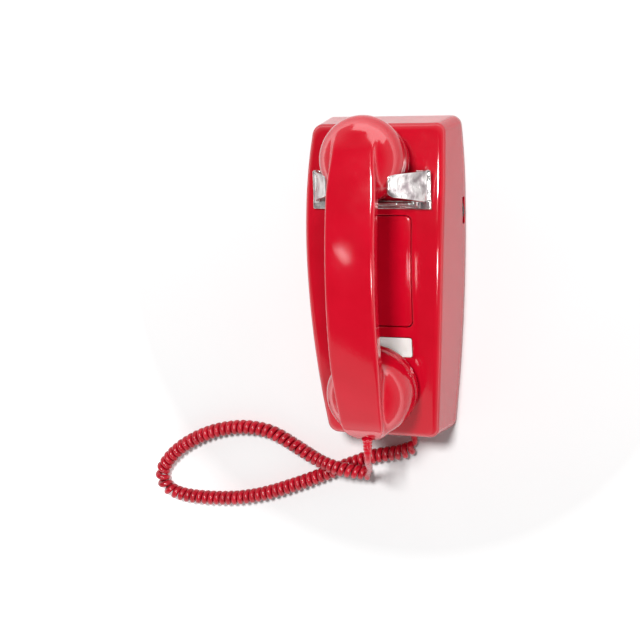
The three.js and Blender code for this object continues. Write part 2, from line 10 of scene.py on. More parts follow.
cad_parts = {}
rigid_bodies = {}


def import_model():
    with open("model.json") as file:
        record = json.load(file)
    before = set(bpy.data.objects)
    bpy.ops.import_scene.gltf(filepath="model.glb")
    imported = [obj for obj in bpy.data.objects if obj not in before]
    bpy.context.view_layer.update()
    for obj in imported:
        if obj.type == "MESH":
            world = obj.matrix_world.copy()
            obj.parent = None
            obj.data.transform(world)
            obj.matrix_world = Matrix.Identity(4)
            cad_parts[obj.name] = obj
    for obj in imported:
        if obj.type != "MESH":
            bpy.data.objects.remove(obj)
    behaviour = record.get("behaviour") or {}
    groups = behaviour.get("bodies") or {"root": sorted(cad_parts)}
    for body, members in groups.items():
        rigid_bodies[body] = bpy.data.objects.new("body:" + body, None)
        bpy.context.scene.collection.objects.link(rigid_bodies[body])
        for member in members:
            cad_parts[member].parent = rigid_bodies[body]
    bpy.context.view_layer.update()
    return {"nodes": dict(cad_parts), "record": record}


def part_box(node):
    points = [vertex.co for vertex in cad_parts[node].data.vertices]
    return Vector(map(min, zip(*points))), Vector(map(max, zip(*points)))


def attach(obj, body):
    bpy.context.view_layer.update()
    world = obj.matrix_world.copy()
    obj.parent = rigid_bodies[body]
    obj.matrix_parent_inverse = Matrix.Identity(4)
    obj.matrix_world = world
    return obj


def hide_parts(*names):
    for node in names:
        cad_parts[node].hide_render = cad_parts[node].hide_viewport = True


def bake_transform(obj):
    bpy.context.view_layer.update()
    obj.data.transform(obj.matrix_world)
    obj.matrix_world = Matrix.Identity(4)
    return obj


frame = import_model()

# Looks of a wall telephone without a dial, lying on its back with its curly cord beside it.
# Shapes are worked out in millimetres and turned into metres when a mesh is made.
MM = 0.001


def size_of(node):
    """Lowest and highest corner of a CAD node, in millimetres."""
    low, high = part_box(node)
    return np.array(low) / MM, np.array(high) / MM


# ---------------------------------------------------------------- dimensions
HALF_LENGTH = size_of("housing")[1][1]
WIDEST_HALF = size_of("housing")[1][0]
FACE_PEAK_Z = size_of("housing")[1][2]
WIDEST_Y = 55
TOP_TAPER = 0.00093
BOTTOM_TAPER = 0.00035
CORNER = 7
DRAFT = 2.8
WALL = 2.5
FRONT_ROUND = 4.5
FACE_PEAK_Y = 5
FACE_DROP_TOP = 19.5
FACE_DROP_BOTTOM = 13.5
GAP = 0.35

PANEL_LOW, PANEL_HIGH = size_of("blank_panel")
PANEL_FLANGE = 2
CARD_LOW, CARD_HIGH = size_of("card_window")
SLOT_X, SLOT_WIDTH, SLOT_LOW, SLOT_HIGH = 32, 4.6, 51, 66

HANDLE = {"arc_y": 6, "arc_z": -157, "radius": 261, "thick": 18.5, "half_width": 16.4}
HANDLE_DRAFT = 0.09
HANDLE_FRONT_ROUND, HANDLE_BACK_ROUND = 2.2, 8.5
RECEIVER = {"y": 81, "z": 46.5, "tilt": 10, "cap": 25.6, "bore": 22.4, "cup": 27.8, "depth": 42, "dome": 19}
TRANSMITTER = {"y": -66.5, "z": 49.6, "tilt": -10, "cap": 29.4, "bore": 25.9, "cup": 28.3, "depth": 37.5,
               "dome": 19}
CAP_DEPTH = 10
CUP_SHOULDER = 15           # the height over which a cup widens from its cap
CUP_WALL, CUP_ROOF = 3.5, 6
HOLLOW_ROUND = 14
NECK_GAP = 1.4              # between a cap's sleeve and the cup round it
NECK_DEPTH = 3.2
LEAD_HOLE = 3.1

WIRE = 4.3
COIL_RADIUS = 3.35          # from the curl's axis to the middle of the wire
COIL_PITCH = 4.8
COIL_Z = 5.6
CURL_END_ANGLE = 138        # where the last curl leaves for the handset
# Mostly places picked on the photo by eye and turned into millimetres by a scratch script.
# part.mjs has the same points, apart from the first two, and a different LEAD_ROUTE.
COIL_ROUTE = [
    (12.5, -118.2), (11.8, -120.6), (9.6, -122.6), (4.6, -125.6), (-2.8, -127.5), (-11.7, -129.2),
    (-20.7, -131.8), (-31.2, -136.1), (-41.2, -140.3), (-51.2, -144.8), (-62, -149.5), (-72.2, -153.8),
    (-82.4, -157.8), (-93, -161.8), (-107, -166.2), (-123, -169.6), (-139, -171.2), (-155, -171.6),
    (-168, -170.6), (-178, -167.5), (-183.4, -162), (-184.5, -154.5), (-181, -147), (-174, -139),
    (-164, -131.2), (-151, -124), (-136, -118.5), (-120, -115.6), (-108, -115.6), (-97, -117.4),
    (-88, -121), (-81.1, -124.8), (-73.2, -129.1, 5.8), (-64.6, -133.1, 7.6), (-55.7, -135.5, 11.4),
    (-47.2, -137.1, 15.2), (-39.5, -138.3, 17), (-32.3, -139.2, 16.9), (-25.7, -140.3, 15.2),
    (-19.6, -141.4, 12.8),
]
TAIL_ROUTE = [(12.5, -106, 6.5), (12.5, -109, 6.4), (12.5, -112.5, 6.2), (12.5, -115.2, 5.8)]
LEAD_ROUTE = [
    (-19.2, -141.4, 17.6), (-17.6, -138.6, 20.8), (-15.3, -135.6, 25.6), (-12.7, -132.2, 32.4),
    (-9.8, -128.4, 40.8), (-7, -124.2, 50.4), (-4, -119.5, 61.5), (-1.2, -114, 71), (0, -110, 73.8),
    (0, -106, 74), (0, -100, 74), (0, -94, 74),
]


# ---------------------------------------------------------------- camera
def make_camera():
    """A long lens over the telephone's right shoulder; a scratch script fitted it to the photo's outlines."""
    place = Vector((0.2785, 0.1584, 0.9322))
    aim = Vector((-0.0389, -0.0244, 0.05))
    forward = (aim - place).normalized()
    right = forward.cross(Vector((0, 1, 0))).normalized()
    up = right.cross(forward)
    turned_to = Matrix((right, up, -forward)).transposed().to_4x4()
    data = bpy.data.cameras.new("camera")
    data.lens = 80
    data.sensor_width = 36
    camera = bpy.data.objects.new("camera", data)
    camera.matrix_world = Matrix.Translation(place) @ turned_to @ Matrix.Rotation(math.radians(-1.92), 4, "Z")
    bpy.context.scene.collection.objects.link(camera)
    bpy.context.scene.camera = camera


# ---------------------------------------------------------------- mesh tools
def make_mesh(name, points, faces, outward=True):
    """A smooth-shaded object from points in millimetres."""
    mesh = bpy.data.meshes.new(name)
    mesh.from_pydata((np.asarray(points, float) * MM).tolist(), [], faces)
    if outward:
        work = bmesh.new()
        work.from_mesh(mesh)
        bmesh.ops.recalc_face_normals(work, faces=work.faces)
        work.to_mesh(mesh)
        work.free()
    mesh.shade_smooth()
    piece = bpy.data.objects.new(name, mesh)
    bpy.context.scene.collection.objects.link(piece)
    return piece


def sharpen(piece, degrees=35):
    """Marks the edges that stay crisp."""
    piece.data.set_sharp_from_angle(angle=math.radians(degrees))
    return piece


class Surface:
    """Loops of points in millimetres, with the faces between them."""

    def __init__(self):
        self.points = []
        self.faces = []

    def loop(self, points):
        start = len(self.points)
        self.points.extend([tuple(map(float, p)) for p in points])
        return list(range(start, len(self.points)))

    def strip(self, low, high):
        """Quads between two closed loops of equal count."""
        for i in range(len(low)):
            j = (i + 1) % len(low)
            self.faces.append((low[i], low[j], high[j], high[i]))

    def strips(self, *loops):
        for low, high in zip(loops, loops[1:]):
            self.strip(low, high)
        return loops[-1]

    def fill(self, outer, holes, height, spacing):
        """Triangles over a level outline with holes in it, at a height that depends on x and y."""
        loops = [outer, *holes]
        flat = [self.points[i][:2] for loop in loops for i in loop]
        owner = [i for loop in loops for i in loop]
        edges, start = [], 0
        for loop in loops:
            edges += [(start + i, start + (i + 1) % len(loop)) for i in range(len(loop))]
            start += len(loop)
        rim = np.array(flat)
        low, high = rim.min(0), rim.max(0)
        grid = np.stack(np.meshgrid(np.arange(low[0] + spacing / 2, high[0], spacing),
                                    np.arange(low[1] + spacing / 2, high[1], spacing)), -1).reshape(-1, 2)
        kept = within(grid, np.array([self.points[i][:2] for i in outer]))
        for hole in holes:
            kept &= ~within(grid, np.array([self.points[i][:2] for i in hole]))
        grid = grid[kept]
        near = np.array([np.hypot(*(rim - p).T).min() for p in grid]) if len(grid) else np.zeros(0)
        grid = grid[near > spacing * 0.6]
        points = [Vector(p) for p in flat] + [Vector(p) for p in grid]
        found = delaunay_2d_cdt(points, edges, [], 2, 1e-6)
        names = []
        for place, sources in zip(found[0], found[3]):
            known = [owner[s] for s in sources if s < len(owner)]
            if known:
                names.append(known[0])
            else:
                self.points.append((place.x, place.y, float(height(place.x, place.y))))
                names.append(len(self.points) - 1)
        faces = [tuple(names[i] for i in face) for face in found[2]]
        middles = np.array([np.mean([self.points[i][:2] for i in face], axis=0) for face in faces])
        solid = np.ones(len(faces), bool)
        for hole in holes:
            solid &= ~within(middles, np.array([self.points[i][:2] for i in hole]))
        self.faces += [face for face, keep in zip(faces, solid) if keep]

    def build(self, name):
        return make_mesh(name, self.points, self.faces)


def within(points, outline):
    """Which points lie inside a closed outline."""
    x, y = points.T
    inside = np.zeros(len(points), bool)
    for (x0, y0), (x1, y1) in zip(outline, np.roll(outline, -1, 0)):
        if y0 != y1:
            crosses = (y0 > y) != (y1 > y)
            inside ^= crosses & (x < (x1 - x0) * (y - y0) / (y1 - y0) + x0)
    return inside


def rounded_rect(x0, y0, x1, y1, radius, grow=0.0, spacing=4.0, corner_steps=6):
    """An anticlockwise outline with points along its straight sides; grow moves it outwards."""
    points = []
    corners = [(x1 - radius, y0 + radius, -90), (x1 - radius, y1 - radius, 0),
               (x0 + radius, y1 - radius, 90), (x0 + radius, y0 + radius, 180)]
    for k, (cx, cy, start) in enumerate(corners):
        for i in range(corner_steps + 1):
            a = math.radians(start + 90 * i / corner_steps)
            points.append((cx + (radius + grow) * math.cos(a), cy + (radius + grow) * math.sin(a)))
        nx, ny, turn = corners[(k + 1) % 4]
        steps = max(1, round(math.hypot(nx - cx, ny - cy) / spacing))
        a = math.radians(turn)
        side = (radius + grow) * math.cos(a), (radius + grow) * math.sin(a)
        for i in range(1, steps):
            t = i / steps
            points.append((cx + (nx - cx) * t + side[0], cy + (ny - cy) * t + side[1]))
    return points


def circle(x, y, radius, count):
    angles = [2 * math.pi * i / count for i in range(count)]
    return [(x + radius * math.cos(a), y + radius * math.sin(a)) for a in angles]


def lathe(name, profile, segments=96):
    """A ring turned about Z from a closed (radius, height) profile."""
    surface = Surface()
    loops = [surface.loop([(x, y, h) for x, y in circle(0, 0, r, segments)]) for r, h in profile]
    surface.strips(*loops, loops[0])
    return surface.build(name)


def box_mesh(name, low, high):
    """A plain block between two corners, for cutting."""
    work = bmesh.new()
    bmesh.ops.create_cube(work, size=1)
    low, high = np.array(low, float) * MM, np.array(high, float) * MM
    bmesh.ops.scale(work, vec=high - low, verts=work.verts)
    bmesh.ops.translate(work, vec=(high + low) / 2, verts=work.verts)
    mesh = bpy.data.meshes.new(name)
    work.to_mesh(mesh)
    work.free()
    piece = bpy.data.objects.new(name, mesh)
    bpy.context.scene.collection.objects.link(piece)
    return piece


def carve(piece, *cutters):
    """Cuts the cutters out of a piece and removes them."""
    for cutter in cutters:
        modifier = piece.modifiers.new("cut", "BOOLEAN")
        modifier.operation = "DIFFERENCE"
        modifier.solver = "EXACT"
        modifier.object = cutter
    graph = bpy.context.evaluated_depsgraph_get()
    piece.data = bpy.data.meshes.new_from_object(piece.evaluated_get(graph))
    piece.modifiers.clear()
    for cutter in cutters:
        bpy.data.objects.remove(cutter)
    piece.data.shade_smooth()
    return sharpen(piece)


def place_at_end(piece, end):
    """Moves a piece made about its own axis to one end of the handset."""
    piece.data.transform(Matrix.Translation((0, end["y"] * MM, end["z"] * MM))
                         @ Matrix.Rotation(math.radians(-end["tilt"]), 4, "X"))
    return piece


# ---------------------------------------------------------------- skins of distance fields
def smooth_min(a, b, blend):
    h = np.clip(0.5 + 0.5 * (b - a) / blend, 0, 1)
    return b + (a - b) * h - blend * h * (1 - h)


def smooth_max(a, b, blend):
    return -smooth_min(-a, -b, blend)


def smooth_step(t):
    t = np.clip(t, 0, 1)
    return t * t * (3 - 2 * t)


def round_corner(u, v, radius):
    """Distance to a quarter-plane corner at u = 0, v = 0, rounded."""
    u, v = u + radius, v + radius
    return np.minimum(np.maximum(u, v), 0) + np.hypot(np.maximum(u, 0), np.maximum(v, 0)) - radius


def block(p, low, high, radius):
    """Distance to a box with rounded edges."""
    low, high = np.array(low, float), np.array(high, float)
    q = [np.abs(p[i] - (low[i] + high[i]) / 2) - (high[i] - low[i]) / 2 + radius for i in range(3)]
    outside = np.sqrt(sum(np.maximum(c, 0) ** 2 for c in q))
    return outside + np.minimum(np.maximum(np.maximum(q[0], q[1]), q[2]), 0) - radius


def skin(name, field, low, high, step, refine=4):
    """The surface where a field of (x, y, z) is zero, as a mesh of even quads drawn onto it."""
    axes = [np.arange(a, b + step, step) for a, b in zip(low, high)]
    value = field(np.meshgrid(*axes, indexing="ij"))
    count = np.array(value.shape)
    cells = count - 1
    total, hits = np.zeros((*cells, 3)), np.zeros(cells)
    crossings = []
    for axis in range(3):
        first, second = [slice(None)] * 3, [slice(None)] * 3
        first[axis], second[axis] = slice(None, -1), slice(1, None)
        a, b = value[tuple(first)], value[tuple(second)]
        i, j, k = np.nonzero((a < 0) != (b < 0))
        along = a[i, j, k] / (a[i, j, k] - b[i, j, k])
        place = np.stack([i, j, k], 1).astype(float)
        place[:, axis] += along
        others = [d for d in range(3) if d != axis]
        around = []
        for du, dv in ((0, 0), (-1, 0), (-1, -1), (0, -1)):
            cell = np.stack([i, j, k], 1)
            cell[:, others[0]] += du
            cell[:, others[1]] += dv
            ok = ((cell >= 0) & (cell < cells)).all(1)
            np.add.at(total, tuple(cell[ok].T), place[ok])
            np.add.at(hits, tuple(cell[ok].T), 1)
            around.append((cell, ok))
        inward = a[i, j, k] < 0
        crossings.append((around, inward if axis != 1 else ~inward))
    used = hits > 0
    number = np.full(cells, -1)
    number[used] = np.arange(used.sum())
    points = total[used] / hits[used][:, None] * step + np.array([a[0] for a in axes])
    faces = []
    for around, forward in crossings:
        ok = np.logical_and.reduce([o for _, o in around])
        quads = np.stack([number[tuple(c[ok].T)] for c, _ in around], 1)
        turn = forward[ok]
        faces += quads[turn].tolist() + quads[~turn][:, ::-1].tolist()
    reach = step * 0.05
    for _ in range(refine):
        here = field(points.T)
        slope = np.stack([(field((points + d).T) - field((points - d).T)) / (2 * reach)
                          for d in np.eye(3) * reach], 1)
        steepness = np.maximum((slope ** 2).sum(1), 0.05)
        points = points - np.clip(here / steepness, -step / 2, step / 2)[:, None] * slope
    return make_mesh(name, points, faces, outward=False)


# ---------------------------------------------------------------- cord
def spline(points, per_span=12):
    """Points along a Catmull-Rom curve through the given ones."""
    p = np.array(points, float)
    p = np.vstack([2 * p[0] - p[1], p, 2 * p[-1] - p[-2]])
    t = np.linspace(0, 1, per_span, endpoint=False)[:, None]
    spans = [0.5 * (2 * b + (c - a) * t + (2 * a - 5 * b + 4 * c - d) * t ** 2
                    + (3 * b - a - 3 * c + d) * t ** 3) for a, b, c, d in zip(p, p[1:], p[2:], p[3:])]
    return np.vstack([*spans, p[-2]])


def respaced(line, step):
    """The same line, with its points evenly spaced."""
    run = np.r_[0, np.cumsum(np.linalg.norm(np.diff(line, axis=0), axis=1))]
    at = np.linspace(0, run[-1], max(2, round(run[-1] / step) + 1))
    return np.stack([np.interp(at, run, line[:, i]) for i in range(line.shape[1])], 1)


def curl(axis_line):
    """The wire's middle line, wound round a nearly level axis, with its pitch opened in tight bends."""
    line = respaced(axis_line, 0.15)
    heading = np.gradient(line, axis=0)
    heading /= np.linalg.norm(heading, axis=1)[:, None]
    for _ in range(40):
        heading[1:-1] = (heading[:-2] + 2 * heading[1:-1] + heading[2:]) / 4
    heading /= np.linalg.norm(heading, axis=1)[:, None]
    step = np.linalg.norm(np.diff(line, axis=0), axis=1).mean()
    bend = np.linalg.norm(np.gradient(heading, axis=0), axis=1) / step
    pitch = np.maximum(COIL_PITCH, (WIRE + 0.15) / np.maximum(1 - bend * COIL_RADIUS, 0.3))
    turn = np.cumsum(2 * math.pi * step / pitch)
    turn = math.radians(CURL_END_ANGLE) + turn[-1] - turn
    run = np.arange(len(line)) * step
    rise = np.clip(run / 6, 0, 1)
    radius = COIL_RADIUS * rise * rise * (3 - 2 * rise)
    side = np.stack([-heading[:, 1], heading[:, 0], np.zeros(len(line))], 1)
    up = np.array([0, 0, 1.0])
    return line + radius[:, None] * (np.cos(turn)[:, None] * side + np.sin(turn)[:, None] * up)


def tube(name, line, radius, sides=12):
    """A closed tube along a line, its section carried along without twist."""
    heading = np.gradient(line, axis=0)
    heading /= np.linalg.norm(heading, axis=1)[:, None]
    side = np.cross(heading[0], (0, 0, 1.0))
    side /= np.linalg.norm(side)
    surface, loops = Surface(), []
    angles = np.linspace(0, 2 * math.pi, sides, endpoint=False)
    for place, ahead in zip(line, heading):
        side = side - (side @ ahead) * ahead
        side /= np.linalg.norm(side)
        other = np.cross(ahead, side)
        loops.append(surface.loop(place + radius * (np.cos(angles)[:, None] * side
                                                    + np.sin(angles)[:, None] * other)))
    surface.strips(*loops)
    surface.faces += [tuple(loops[0][::-1]), tuple(loops[-1])]
    return surface.build(name)


def make_cord():
    """One wire: out of the housing, round its curls, and up into the handset."""
    axis = spline([(*place, COIL_Z)[:3] for place in COIL_ROUTE], 24)
    wound = curl(axis)
    tail = spline([*TAIL_ROUTE, tuple(wound[0])], 12)[:-1]
    lead = spline([tuple(wound[-8]), tuple(wound[-1]), *LEAD_ROUTE], 12)[12:]
    line = np.vstack([tail, wound[:-1:2], lead])
    for _ in range(2):
        line[1:-1] = (line[:-2] + 6 * line[1:-1] + line[2:]) / 8
    line = respaced(line, 1.05)
    cord = tube("curly_cord", line, WIRE / 2)
    sharpen(cord, 60)
    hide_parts("cord_coil", "cord_lead", "cord_tail")
    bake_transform(cord)
    return cord


make_camera()
cord = make_cord()


# ---------------------------------------------------------------- housing
def back_half_width(y):
    d = y - WIDEST_Y
    return WIDEST_HALF - (TOP_TAPER if d > 0 else BOTTOM_TAPER) * d * d


def face_z(y):
    d = y - FACE_PEAK_Y
    reach = HALF_LENGTH - FACE_PEAK_Y if d > 0 else HALF_LENGTH + FACE_PEAK_Y
    return FACE_PEAK_Z - (FACE_DROP_TOP if d > 0 else FACE_DROP_BOTTOM) * (d / reach) ** 2


def housing_outline(inset, corner=CORNER):
    """The housing's outline shrunk by inset, anticlockwise from the middle of its bottom edge."""
    bottom, top = -HALF_LENGTH + inset, HALF_LENGTH - inset
    low, high = bottom + corner, top - corner
    right = [(x, bottom) for x in np.linspace(0, back_half_width(low) - inset - corner, 10)[:-1]]
    for y, start in ((low, -90), (high, 0)):
        if start == 0:
            right += [(back_half_width(v) - inset, v) for v in np.linspace(low, high, 64)[1:-1]]
        centre = back_half_width(y) - inset - corner
        angles = [math.radians(start + 90 * i / 10) for i in range(11)]
        right += [(centre + corner * math.cos(a), y + corner * math.sin(a)) for a in angles]
    right += [(x, top) for x in np.linspace(back_half_width(high) - inset - corner, 0, 10)[1:]]
    left = [(-x, y) for x, y in right[-2:0:-1]]
    return right + left


def lip_loops(surface, outline_at, height, radius, steps=5):
    """Loops round a hole's rounded edge, from the face down into the hole; outline_at takes the growth."""
    loops = []
    for i in range(steps + 1):
        a = math.radians(90 * i / steps)
        grow, drop = radius * (1 - math.sin(a)), radius * (1 - math.cos(a))
        loops.append(surface.loop([(x, y, height(y) - drop) for x, y in outline_at(grow)]))
    return loops


def make_housing():
    """The bowed shell, with its wall, its rounded front edge and the openings in its face."""
    surface = Surface()
    foot = 0.5
    loops = [surface.loop([(x, y, 0) for x, y in housing_outline(foot)])]
    loops.append(surface.loop([(x, y, foot * 0.3) for x, y in housing_outline(foot * 0.3)]))
    for t in np.linspace(0.02, 1, 9):
        inset = DRAFT * t
        loops.append(surface.loop([(x, y, t * (face_z(y) - FRONT_ROUND)) for x, y in housing_outline(inset)]))
    for a in np.radians(np.linspace(0, 90, 13)[1:]):
        inset, drop = DRAFT + FRONT_ROUND * (1 - math.cos(a)), FRONT_ROUND * (1 - math.sin(a))
        loops.append(surface.loop([(x, y, face_z(y) - drop) for x, y in housing_outline(inset)]))
    brow = surface.strips(*loops)

    x0, y0, x1, y1 = PANEL_LOW[0], PANEL_LOW[1], PANEL_HIGH[0], PANEL_HIGH[1]
    inwards = PANEL_FLANGE - GAP
    panel = (x0 + inwards, y0 + inwards, x1 - inwards, y1 - inwards, 4)
    card = (CARD_LOW[0] - GAP, CARD_LOW[1] - GAP, CARD_HIGH[0] + GAP, CARD_HIGH[1] + GAP, 1.6)
    slots = [(side * SLOT_X - SLOT_WIDTH / 2, SLOT_LOW, side * SLOT_X + SLOT_WIDTH / 2, SLOT_HIGH, 1.2)
             for side in (-1, 1)]
    tops, floors = [], []
    for rect, lip in ((panel, 0.9), (card, 0.7), (slots[0], 0.4), (slots[1], 0.4)):
        hole = lip_loops(surface, lambda grow, r=rect: rounded_rect(*r, grow=grow), face_z, lip)
        hole.append(surface.loop([(x, y, face_z(y) - WALL) for x, y in rounded_rect(*rect)]))
        surface.strips(*hole)
        tops.append(hole[0])
        floors.append(hole[-1])
    surface.fill(brow, tops, lambda x, y: face_z(y), 3.4)

    inner = [loops[0]]
    for inset, height in ((WALL, lambda y: 0.0), (WALL + DRAFT, lambda y: face_z(y) - FRONT_ROUND),
                          (WALL + DRAFT + 1.2, lambda y: face_z(y) - WALL)):
        inner.append(surface.loop([(x, y, height(y)) for x, y in housing_outline(inset, CORNER - 1)]))
    surface.fill(surface.strips(*inner), floors, lambda x, y: face_z(y) - WALL, 6)
    shell = surface.build("housing_shell")
    wheel_slot = box_mesh("cutter_a", (40, 36, 3.2), (60, 54, 7.8))
    cord_hole = rod("cutter_b", 4.3, (12.5, -109, 6.5), 14)
    screw_hole = rod("cutter_c", 3.8, (-24, -109, 8), 5)
    screw_bore = rod("cutter_d", 2.6, (-24, -106, 8), 8)
    return carve(shell, wheel_slot, cord_hole, screw_hole, screw_bore)


def rod(name, radius, centre, length, count=32):
    """A plain cylinder along Y, for cutting."""
    surface = Surface()
    x, y, z = centre
    ends = [surface.loop([(x + u, y + s * length / 2, z + v) for u, v in circle(0, 0, radius, count)])
            for s in (-1, 1)]
    surface.strips(*ends)
    surface.faces += [tuple(ends[0]), tuple(ends[1][::-1])]
    return surface.build(name)


def plate_piece(name, rect, top, thick, lip, spacing):
    """A bowed plate that fills a rounded rectangle, with a rounded front edge."""
    surface = Surface()
    loops = [surface.loop([(x, y, top(y) - thick) for x, y in rounded_rect(*rect, grow=0)])]
    for i in range(7):
        a = math.radians(90 * i / 6)
        shrink, drop = lip * (1 - math.cos(a)), lip * (1 - math.sin(a))
        loops.append(surface.loop([(x, y, top(y) - drop) for x, y in rounded_rect(*rect, grow=-shrink)]))
    surface.fill(surface.strips(*loops), [], lambda x, y: top(y), spacing)
    surface.fill(loops[0], [], lambda x, y: top(y) - thick, spacing)
    return sharpen(surface.build(name), 40)


def make_panel():
    low, high = PANEL_LOW, PANEL_HIGH
    f = PANEL_FLANGE
    return plate_piece("blank_insert", (low[0] + f, low[1] + f, high[0] - f, high[1] - f, 4),
                       lambda y: face_z(y) - 0.5, 3.4, 1.2, 3.4)


def make_window():
    return plate_piece("card_cover", (CARD_LOW[0], CARD_LOW[1], CARD_HIGH[0], CARD_HIGH[1], 1.6),
                       lambda y: face_z(y) - 0.25, 1.4, 0.5, 2.4)


# ---------------------------------------------------------------- handset
def end_coordinates(p, end):
    """A point's distance from one end's axis, and its height along it."""
    a = math.radians(end["tilt"])
    across = (p[1] - end["y"]) * math.cos(a) - (p[2] - end["z"]) * math.sin(a)
    height = (p[1] - end["y"]) * math.sin(a) + (p[2] - end["z"]) * math.cos(a)
    return np.hypot(p[0], across), height


def cup_field(p, end):
    radius, height = end_coordinates(p, end)
    rise = np.clip((height - CAP_DEPTH) / CUP_SHOULDER, 0, 1)
    wall = end["cap"] + (end["cup"] - end["cap"]) * rise * rise * (3 - 2 * rise)
    shell = round_corner(radius - wall, height - end["depth"], end["dome"])
    return smooth_max(shell, CAP_DEPTH + 0.15 - height, 0.4)


def cavity_field(p, end):
    """The hollow of a cup: a neck that takes the cap's sleeve, and a rounded room behind it."""
    radius, height = end_coordinates(p, end)
    neck = np.maximum(radius - end["bore"] - NECK_GAP, height - CAP_DEPTH - NECK_DEPTH)
    room = round_corner(radius - end["cup"] + CUP_WALL, height - end["depth"] + CUP_ROOF, HOLLOW_ROUND)
    return np.minimum(neck, room)


def handle_field(p):
    """A bent bar of rounded section with a flat front, ending squarely over each cup."""
    x, y, z = p
    crown = 0.5 * (x / HANDLE["half_width"]) ** 2
    out = np.hypot(y - HANDLE["arc_y"], z - HANDLE["arc_z"]) + crown - HANDLE["radius"]
    half, middle = HANDLE["thick"] / 2, out + HANDLE["thick"] / 2
    taper = 2.8 * smooth_step((y - 62) / 40) + 1.8 * smooth_step((-40 - y) / 50)
    draft = HANDLE_DRAFT * np.maximum(half - middle, 0)
    width = np.abs(x) - HANDLE["half_width"] + taper + draft
    front = round_corner(width, middle - half, HANDLE_FRONT_ROUND)
    back = round_corner(width, -middle - half, HANDLE_BACK_ROUND)
    bar = np.where(middle > 0, front, back)
    top_end = 0.902 * y + 0.431 * z - 126.2
    bottom_end = -0.96 * y + 0.28 * z - 115.5
    return smooth_max(smooth_max(bar, top_end, 5), bottom_end, 12)


def handset_field(p):
    body = smooth_min(cup_field(p, RECEIVER), cup_field(p, TRANSMITTER), 1)
    body = smooth_min(body, handle_field(p), 2.4)
    for end in (RECEIVER, TRANSMITTER):
        body = np.maximum(body, -cavity_field(p, end))
    cord_hole = np.maximum(np.hypot(p[0], p[2] - LEAD_ROUTE[-1][2]) - LEAD_HOLE, p[1] + 80)
    return smooth_max(body, -cord_hole, 0.6)


def make_handset():
    low, high = size_of("handset_shell")
    return skin("handset_body", handset_field, low - 3, high + 3, 0.85)


def make_cap(name, end):
    """A screwed cap: a rounded rim with one fine groove, a sleeve, and a face with sound holes."""
    r = end["cap"]
    surface = Surface()
    count = 112
    bore = end["bore"]
    profile = [(bore, 4), (bore, CAP_DEPTH + 2.5), (bore + 1.2, CAP_DEPTH + 2.5), (bore + 1.2, CAP_DEPTH)]
    profile += [(r - 0.5, CAP_DEPTH), (r - 0.1, CAP_DEPTH - 0.4)]
    profile += [(r - 0.1, CAP_DEPTH - 1.4), (r - 0.45, CAP_DEPTH - 1.7), (r - 0.1, CAP_DEPTH - 2.0)]
    profile += [(r, CAP_DEPTH - 3), (r, 4.2)]
    profile += [(r - 3.4 * (1 - math.cos(a)), 3.6 - 3.1 * math.sin(a)) for a in np.radians(range(10, 91, 16))]
    profile += [(r - 6, 0.35), (r - 8, 0.6), (r - 9.5, 0.9)]
    loops = [surface.loop([(x, y, h) for x, y in circle(0, 0, radius, count)]) for radius, h in profile]
    surface.strips(*loops)
    fronts, backs = [], []
    for number, ring in ((1, 0), (6, 6), (12, 12)):
        for x, y in circle(0, 0, ring, number):
            outer = surface.loop([(u, v, 0.9) for u, v in circle(x, y, 1.3, 14)])
            edge = surface.loop([(u, v, 1.2) for u, v in circle(x, y, 1.05, 14)])
            inner = surface.loop([(u, v, 4) for u, v in circle(x, y, 1.05, 14)])
            surface.strips(outer, edge, inner)
            fronts.append(outer)
            backs.append(inner)
    surface.fill(loops[-1], fronts, lambda x, y: 0.9, 2.2)
    surface.fill(loops[0], backs, lambda x, y: 4, 3)
    return place_at_end(sharpen(surface.build(name), 50), end)


def make_handset_relief():
    """The handset's strain relief: a collar against the shell and a ribbed, tapering sleeve."""
    rings = [(2.16, -6), (3.0, -6), (3.0, 0), (3.7, 0.2), (3.8, 0.9), (3.5, 1.5)]
    for i in range(4):
        h, r = 2.0 + 2.3 * i, 3.15 - 0.13 * i
        rings += [(r - 0.3, h), (r, h + 0.4), (r - 0.02, h + 1.4), (r - 0.3, h + 1.8)]
    rings += [(2.6, 12.4), (2.16, 12.6)]
    sleeve = lathe("handset_relief", rings, 40)
    sleeve.data.transform(Matrix.Translation((0, -97.6 * MM, 74 * MM))
                          @ Matrix.Rotation(math.radians(90), 4, "X"))
    return sleeve


def make_housing_gland():
    """The cord's strain relief in the housing's lower wall: a flanged ring that tapers outwards."""
    rings = [(2.16, 0), (4.0, 0), (4.0, 3.5), (5.6, 3.6), (5.8, 4.0), (5.5, 4.7), (3.5, 5.1), (3.1, 7.4),
             (2.6, 7.8), (2.16, 7.8)]
    gland = lathe("housing_gland", rings, 40)
    gland.data.transform(Matrix.Translation((12.5 * MM, -104.6 * MM, 6.5 * MM))
                         @ Matrix.Rotation(math.radians(90), 4, "X"))
    return gland


# ---------------------------------------------------------------- cradle hook
HOOK_LOW, HOOK_HIGH = size_of("cradle_hook")
HOOK_TIP_X = 21
HOOK_FLANGE_Z = 50.4


